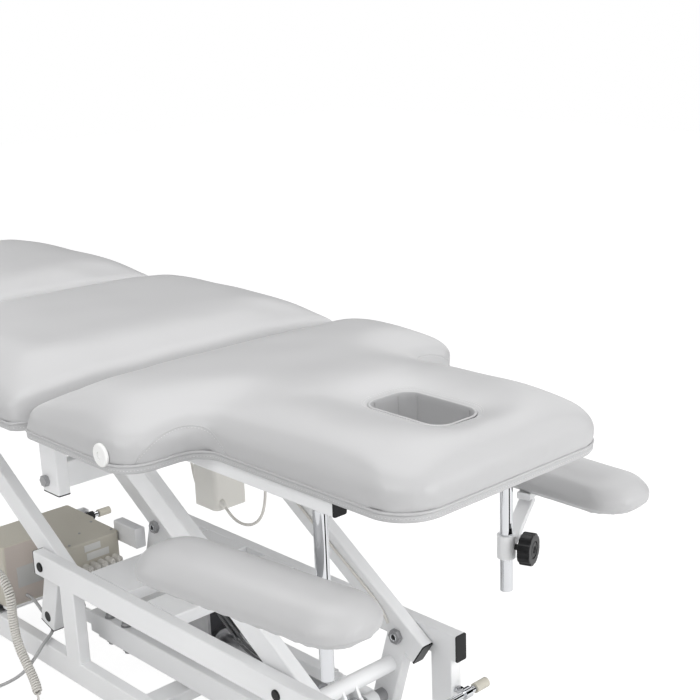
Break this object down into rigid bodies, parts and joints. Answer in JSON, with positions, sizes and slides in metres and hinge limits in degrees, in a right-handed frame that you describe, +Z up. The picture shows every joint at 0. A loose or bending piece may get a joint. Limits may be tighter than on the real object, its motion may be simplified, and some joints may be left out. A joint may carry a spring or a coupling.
{
  "type": "massage table",
  "caption": "Height-adjustable massage table with three padded sections, breathing hole, two drop armrests and a bell-crank lift on a tube base.",
  "frame": {"origin": "on the floor, under the middle of the table's length and width", "axes": "+X towards the head end, +Y across to the side away from the hand control, +Z up"},
  "size_m": [1.982, 1.0265, 0.741],
  "materials": {
    "white_paint": "gloss",
    "white_cover": "satin",
    "black_plastic": "matte",
    "chrome": "polished",
    "zinc": "satin",
    "beige_plastic": "matte",
    "white_plastic": "gloss",
    "dark_metal": "satin",
    "board": "matte",
    "rubber": "matte",
    "grey_cable": "matte"
  },
  "bodies": {
    "base": {"side_frames": "white_paint", "base_crossbars": "white_paint", "shelf_tray": "white_paint", "base_caps": "black_plastic", "foot_pads": "rubber", "base_screws": "zinc", "pivot_bolts": "zinc", "lift_motor": "dark_metal", "lift_sleeve": "zinc", "base_brackets": "zinc", "control_box": "beige_plastic", "box_sockets": "beige_plastic", "end_rods": "chrome", "end_rod_knobs": "beige_plastic", "end_rod_clips": "black_plastic", "mains_lead": "grey_cable", "mains_coil": "grey_cable", "mains_plug": "rubber", "plug_pins": "chrome", "hand_cord": "beige_plastic", "hand_control": "beige_plastic"},
    "front_crank": {"front_crank": "white_paint", "front_arm_caps": "black_plastic", "front_link_pins": "zinc"},
    "rear_crank": {"rear_crank": "white_paint", "rear_arm_caps": "black_plastic", "rear_link_pins": "zinc"},
    "links": {"link_tubes": "white_paint", "link_clamps": "zinc"},
    "lift_rod": {"lift_rod": "chrome"},
    "upper_frame": {"upper_frame": "white_paint", "upper_pins": "zinc", "upper_caps": "black_plastic", "middle_board": "board", "middle_cushion": "white_cover"},
    "head_section": {"head_frame": "white_paint", "head_caps": "black_plastic", "head_board": "board", "head_cushion": "white_cover", "side_discs": "white_plastic"},
    "leg_section": {"leg_frame": "white_paint", "leg_board": "board", "leg_cushion": "white_cover"},
    "head_drive": {"head_sleeve": "zinc", "head_motor": "beige_plastic"},
    "head_rod": {"head_rod": "chrome"},
    "leg_spring": {"leg_sleeve": "dark_metal"},
    "leg_rod": {"leg_rod": "chrome"},
    "near_post": {"rest_post_near": "chrome"},
    "near_rest": {"rest_arm_near": "white_paint", "rest_pad_near": "white_cover"},
    "near_knob": {"rest_knob_near": "black_plastic"},
    "far_post": {"rest_post_far": "chrome"},
    "far_rest": {"rest_arm_far": "white_paint", "rest_pad_far": "white_cover"},
    "far_knob": {"rest_knob_far": "black_plastic"},
    "button_1": {"button_1": "rubber"},
    "button_2": {"button_2": "rubber"},
    "button_3": {"button_3": "rubber"},
    "button_4": {"button_4": "rubber"}
  },
  "joints": [
    {"name": "lift", "type": "hinge", "parent": "base", "child": "front_crank", "pos_m": [0.6185, 0, 0.254], "axis": [0, 1, 0], "range_deg": [-14, 22]},
    {"name": "rear_lift", "type": "hinge", "parent": "base", "child": "rear_crank", "pos_m": [-0.116, 0, 0.254], "axis": [0, 1, 0], "range_deg": [-14, 22]},
    {"name": "frame_level", "type": "hinge", "parent": "front_crank", "child": "upper_frame", "pos_m": [0.09971, 0, 0.59349], "axis": [0, 1, 0], "range_deg": [-22, 14]},
    {"name": "link_level", "type": "hinge", "parent": "front_crank", "child": "links", "pos_m": [0.57815, 0, 0.12203], "axis": [0, 1, 0], "range_deg": [-22, 14]},
    {"name": "lift_stroke", "type": "slide", "parent": "base", "child": "lift_rod", "axis": [1, 0, 0], "range_m": [-0.038, 0.0245]},
    {"name": "head_tilt", "type": "hinge", "parent": "upper_frame", "child": "head_section", "pos_m": [0.242, 0, 0.6535], "axis": [0, 1, 0], "range_deg": [-25, 20]},
    {"name": "head_drive_swing", "type": "hinge", "parent": "head_section", "child": "head_drive", "pos_m": [0.346, 0, 0.56], "axis": [0, 1, 0], "range_deg": [-13.6, 16.9]},
    {"name": "head_stroke", "type": "slide", "parent": "head_drive", "child": "head_rod", "axis": [0.9809, 0, 0.1946], "range_m": [-0.0484, 0.0389]},
    {"name": "leg_tilt", "type": "hinge", "parent": "upper_frame", "child": "leg_section", "pos_m": [-0.384, 0, 0.6535], "axis": [0, 1, 0], "range_deg": [0, 30]},
    {"name": "leg_spring_swing", "type": "hinge", "parent": "upper_frame", "child": "leg_spring", "pos_m": [-0.18, 0, 0.575], "axis": [0, 1, 0], "range_deg": [-0.4, 8.2]},
    {"name": "leg_stroke", "type": "slide", "parent": "leg_spring", "child": "leg_rod", "axis": [-1, 0, -0.0057], "range_m": [-0.001, 0.0368]},
    {"name": "near_post_turn", "type": "hinge", "parent": "head_section", "child": "near_post", "pos_m": [0.7955, -0.2025, 0.641], "axis": [0, 0, 1], "range_deg": [-10, 45]},
    {"name": "near_rest_height", "type": "slide", "parent": "near_post", "child": "near_rest", "axis": [0, 0, 1], "range_m": [-0.04, 0.06]},
    {"name": "near_knob_turn", "type": "hinge", "parent": "near_rest", "child": "near_knob", "pos_m": [0.7955, -0.2025, 0.449], "axis": [-1, 0, 0], "continuous": true},
    {"name": "far_post_turn", "type": "hinge", "parent": "head_section", "child": "far_post", "pos_m": [0.7955, 0.2025, 0.641], "axis": [0, 0, -1], "range_deg": [-10, 45]},
    {"name": "far_rest_height", "type": "slide", "parent": "far_post", "child": "far_rest", "axis": [0, 0, 1], "range_m": [-0.04, 0.06]},
    {"name": "far_knob_turn", "type": "hinge", "parent": "far_rest", "child": "far_knob", "pos_m": [0.7955, 0.2025, 0.449], "axis": [0.9397, 0.342, 0], "continuous": true},
    {"name": "button_1_press", "type": "slide", "parent": "base", "child": "button_1", "axis": [0, 0, -1], "range_m": [0, 0.0015], "stiffness_N_per_m": 400, "springref_m": -0.001},
    {"name": "button_2_press", "type": "slide", "parent": "base", "child": "button_2", "axis": [0, 0, -1], "range_m": [0, 0.0015], "stiffness_N_per_m": 400, "springref_m": -0.001},
    {"name": "button_3_press", "type": "slide", "parent": "base", "child": "button_3", "axis": [0, 0, -1], "range_m": [0, 0.0015], "stiffness_N_per_m": 400, "springref_m": -0.001},
    {"name": "button_4_press", "type": "slide", "parent": "base", "child": "button_4", "axis": [0, 0, -1], "range_m": [0, 0.0015], "stiffness_N_per_m": 400, "springref_m": -0.001}
  ],
  "couplings": [
    {"joint": "rear_lift", "follows": "lift", "ratio": 1},
    {"joint": "frame_level", "follows": "lift", "ratio": -1},
    {"joint": "link_level", "follows": "lift", "ratio": -1},
    {"joint": "lift_stroke", "follows": "lift", "m_per_rad": -0.0975},
    {"joint": "head_drive_swing", "follows": "head_tilt", "ratio": -0.66},
    {"joint": "head_stroke", "follows": "head_tilt", "m_per_rad": 0.10858},
    {"joint": "leg_spring_swing", "follows": "leg_tilt", "ratio": 0.26},
    {"joint": "leg_stroke", "follows": "leg_tilt", "m_per_rad": 0.068468}
  ]
}
